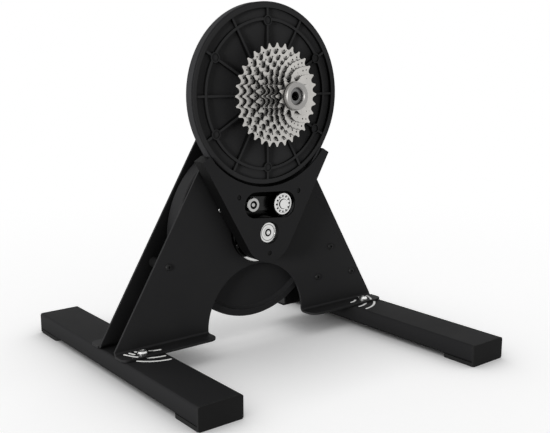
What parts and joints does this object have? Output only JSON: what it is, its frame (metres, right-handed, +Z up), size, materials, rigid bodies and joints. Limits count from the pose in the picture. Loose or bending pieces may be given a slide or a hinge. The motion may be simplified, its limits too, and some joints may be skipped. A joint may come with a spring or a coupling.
{
  "type": "direct drive bike trainer",
  "caption": "Direct drive indoor bike trainer: A-shaped frame on swivelling legs, cassette on a large belt pulley, belt-driven flywheel and open tensioner.",
  "frame": {"origin": "middle of the trainer's footprint on the floor, with the legs folded out: the centre of the bounding box's underside", "axes": "+Z up; the axle and the flywheel shaft run along Y, with the cassette on the -Y side and the bicycle's left side at +Y; +X runs along the frame plates, towards the bicycle's front wheel"},
  "size_m": [0.449, 0.487, 0.47],
  "materials": {
    "frame_paint": "satin powder coat",
    "black_steel": "black oxide",
    "foot_rubber": "matte",
    "belt_rubber": "matte",
    "bright_steel": "zinc plated",
    "bearing_steel": "ground",
    "dark_alloy": "anodised",
    "turned_alloy": "turned",
    "pulley_plastic": "moulded",
    "sensor_plastic": "moulded",
    "spacer_plastic": "moulded",
    "hard_steel": "hardened",
    "sprocket_steel": "nickel plated",
    "cast_iron": "painted, machined rim",
    "magnet": "nickel plated"
  },
  "bodies": {
    "frame": {"front_plate": "frame_paint", "rear_plate": "frame_paint", "frame_spacers": "black_steel", "frame_bolts": "black_steel", "frame_nuts": "black_steel", "pivot_bolts": "bright_steel", "pivot_nuts": "bright_steel", "axle_tube": "dark_alloy", "axle_end_cap": "dark_alloy", "axle_flange": "turned_alloy", "axle_spacer": "turned_alloy", "axle_nut": "turned_alloy", "axle_sleeves": "bright_steel", "hub_bearing_inners": "bearing_steel", "freehub_bearing_inners": "bearing_steel", "drive_belt": "belt_rubber", "shaft_bearing_outers": "bearing_steel", "bearing_flange_front": "turned_alloy", "bearing_flange_rear": "frame_paint", "flange_screws": "black_steel", "brake_carrier": "frame_paint", "brake_magnets": "magnet", "speed_sensor": "sensor_plastic", "belt_cover": "frame_paint", "cover_standoffs": "black_steel", "cover_screws": "black_steel", "tensioner_post": "bright_steel"},
    "pulley": {"drive_pulley": "pulley_plastic", "hub_shell": "turned_alloy", "hub_screws": "black_steel", "ratchet_ring": "hard_steel", "hub_bearing_outers": "bearing_steel"},
    "cassette": {"freehub_body": "turned_alloy", "freehub_pawls": "hard_steel", "freehub_bearing_outers": "bearing_steel", "sprocket_spacers": "spacer_plastic", "lockring": "sprocket_steel", "sprocket_32": "sprocket_steel", "sprocket_28": "sprocket_steel", "sprocket_24": "sprocket_steel", "sprocket_21": "sprocket_steel", "sprocket_18": "sprocket_steel", "sprocket_16": "sprocket_steel", "sprocket_14": "sprocket_steel", "sprocket_12": "sprocket_steel", "sprocket_11": "sprocket_steel"},
    "flywheel": {"flywheel": "cast_iron", "flywheel_shaft": "bright_steel", "small_pulley": "turned_alloy", "shaft_collars": "bright_steel", "shaft_bearing_inners": "bearing_steel"},
    "tensioner": {"tensioner_arm": "bright_steel"},
    "idler": {"idler_roller": "bearing_steel", "idler_balls": "bearing_steel"},
    "leg_left": {"leg_tube_left": "frame_paint", "leg_feet_left": "foot_rubber", "leg_sleeve_left": "bright_steel"},
    "leg_right": {"leg_tube_right": "frame_paint", "leg_feet_right": "foot_rubber", "leg_sleeve_right": "bright_steel"}
  },
  "joints": [
    {"name": "flywheel_spin", "type": "hinge", "parent": "frame", "child": "flywheel", "pos_m": [0, 0.0295, 0.1645], "axis": [0, 1, 0], "continuous": true},
    {"name": "pulley_spin", "type": "hinge", "parent": "frame", "child": "pulley", "pos_m": [0, -0.01135, 0.35], "axis": [0, 1, 0], "continuous": true},
    {"name": "freewheel", "type": "hinge", "parent": "pulley", "child": "cassette", "pos_m": [0, -0.036, 0.35], "axis": [0, 1, 0], "continuous": true},
    {"name": "tensioner_swing", "type": "hinge", "parent": "frame", "child": "tensioner", "pos_m": [-0.024, -0.006, 0.205], "axis": [0, -1, 0], "range_deg": [0, 3]},
    {"name": "idler_spin", "type": "hinge", "parent": "tensioner", "child": "idler", "pos_m": [0.0266, -0.015, 0.2014], "axis": [0, 1, 0], "continuous": true},
    {"name": "left_leg_swivel", "type": "hinge", "parent": "frame", "child": "leg_left", "pos_m": [-0.193, -0.0075, 0.03], "axis": [0, 0, 1], "range_deg": [0, 90]},
    {"name": "right_leg_swivel", "type": "hinge", "parent": "frame", "child": "leg_right", "pos_m": [0.193, -0.0075, 0.03], "axis": [0, 0, 1], "range_deg": [0, 90]}
  ],
  "couplings": [
    {"joint": "pulley_spin", "follows": "flywheel_spin", "ratio": 0.19192},
    {"joint": "idler_spin", "follows": "flywheel_spin", "ratio": 1.2412}
  ]
}
